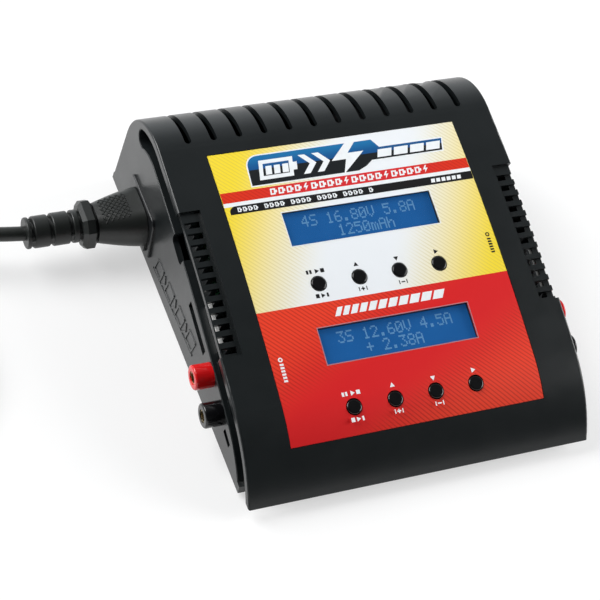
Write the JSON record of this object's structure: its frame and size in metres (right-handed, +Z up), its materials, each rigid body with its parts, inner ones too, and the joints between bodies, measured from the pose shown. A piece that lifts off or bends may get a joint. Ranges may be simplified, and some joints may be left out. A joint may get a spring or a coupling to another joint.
{
  "type": "balance battery charger",
  "caption": "Desk-top balance charger with a sloping front, two displays with button rows, output jacks on both sides, side and crest vents, and a mains lead with its plug.",
  "frame": {"origin": "on the table, under the middle of the case", "axes": "+X to the right as the user faces the panel, +Y to the back, +Z up"},
  "size_m": [0.3446, 0.215, 0.0611],
  "materials": {
    "case": "fine-grained satin black moulding",
    "label": "printed polyester overlay, yellow above and red below",
    "window": "clear acrylic",
    "display": "blue backlit display glass",
    "bezel": "black painted steel",
    "board": "green solder mask",
    "switch": "black nylon",
    "button": "black moulding",
    "steel": "zinc plated",
    "rubber": "matt",
    "winding": "yellow tape over copper wire",
    "capacitor": "shrink sleeve",
    "aluminium": "extruded",
    "fuse": "glass tube with plated caps",
    "ribbon": "grey ribbon",
    "fan": "glass-filled black",
    "socket": "black nylon",
    "plated_pin": "nickel plated",
    "brass": "turned",
    "red_plastic": "red moulding",
    "black_plastic": "black moulding",
    "white_nylon": "natural nylon",
    "cord": "black PVC",
    "tie": "black strap"
  },
  "bodies": {
    "charger": {"upper_case": "case", "base_tray": "case", "label_sheet": "label", "display_window_upper": "window", "display_window_lower": "window", "lcd_glass_upper": "display", "lcd_glass_lower": "display", "lcd_bezel_upper": "bezel", "lcd_bezel_lower": "bezel", "lcd_board_upper": "board", "lcd_board_lower": "board", "display_board": "board", "main_board": "board", "button_switches": "switch", "processor_chip": "switch", "power_transistors": "switch", "display_screws": "steel", "board_screws": "steel", "case_screws": "steel", "jack_nuts": "steel", "rubber_feet": "rubber", "power_transformer": "winding", "output_inductors": "winding", "line_choke": "winding", "main_capacitor": "capacitor", "output_capacitors": "capacitor", "heat_sink": "aluminium", "line_fuse": "fuse", "ribbon_cable": "ribbon", "fan_frame": "fan", "ac_inlet": "socket", "dc_inlet": "socket", "probe_ports": "socket", "ac_inlet_pins": "plated_pin", "dc_inlet_pins": "plated_pin", "balance_pins": "plated_pin", "jack_sleeves": "brass", "jack_red_left": "red_plastic", "jack_red_right": "red_plastic", "jack_black_left": "black_plastic", "jack_black_right": "black_plastic", "balance_port_left": "white_nylon", "balance_port_right": "white_nylon"},
    "button_upper_1": {"button_upper_1": "button"},
    "button_upper_2": {"button_upper_2": "button"},
    "button_upper_3": {"button_upper_3": "button"},
    "button_upper_4": {"button_upper_4": "button"},
    "button_lower_1": {"button_lower_1": "button"},
    "button_lower_2": {"button_lower_2": "button"},
    "button_lower_3": {"button_lower_3": "button"},
    "button_lower_4": {"button_lower_4": "button"},
    "fan_rotor": {"fan_rotor": "fan"},
    "mains_lead": {"cord_connector": "cord", "connector_contacts": "brass", "power_cord": "cord", "cord_coil": "cord", "coil_tie": "tie", "cord_tail": "cord", "mains_plug": "cord", "plug_blades": "brass"}
  },
  "joints": [
    {"name": "button_upper_1_press", "type": "slide", "parent": "charger", "child": "button_upper_1", "axis": [0, 0.284, -0.9588], "range_m": [0, 0.0006], "stiffness_N_per_m": 1500},
    {"name": "button_upper_2_press", "type": "slide", "parent": "charger", "child": "button_upper_2", "axis": [0, 0.284, -0.9588], "range_m": [0, 0.0006], "stiffness_N_per_m": 1500},
    {"name": "button_upper_3_press", "type": "slide", "parent": "charger", "child": "button_upper_3", "axis": [0, 0.284, -0.9588], "range_m": [0, 0.0006], "stiffness_N_per_m": 1500},
    {"name": "button_upper_4_press", "type": "slide", "parent": "charger", "child": "button_upper_4", "axis": [0, 0.284, -0.9588], "range_m": [0, 0.0006], "stiffness_N_per_m": 1500},
    {"name": "button_lower_1_press", "type": "slide", "parent": "charger", "child": "button_lower_1", "axis": [0, 0.284, -0.9588], "range_m": [0, 0.0006], "stiffness_N_per_m": 1500},
    {"name": "button_lower_2_press", "type": "slide", "parent": "charger", "child": "button_lower_2", "axis": [0, 0.284, -0.9588], "range_m": [0, 0.0006], "stiffness_N_per_m": 1500},
    {"name": "button_lower_3_press", "type": "slide", "parent": "charger", "child": "button_lower_3", "axis": [0, 0.284, -0.9588], "range_m": [0, 0.0006], "stiffness_N_per_m": 1500},
    {"name": "button_lower_4_press", "type": "slide", "parent": "charger", "child": "button_lower_4", "axis": [0, 0.284, -0.9588], "range_m": [0, 0.0006], "stiffness_N_per_m": 1500},
    {"name": "fan_spin", "type": "hinge", "parent": "charger", "child": "fan_rotor", "pos_m": [0.03, 0.0585, 0.0326], "axis": [0, 1, 0], "continuous": true},
    {"name": "connector_pull", "type": "slide", "parent": "charger", "child": "mains_lead", "axis": [-1, 0, 0], "range_m": [0, 0.018]}
  ]
}
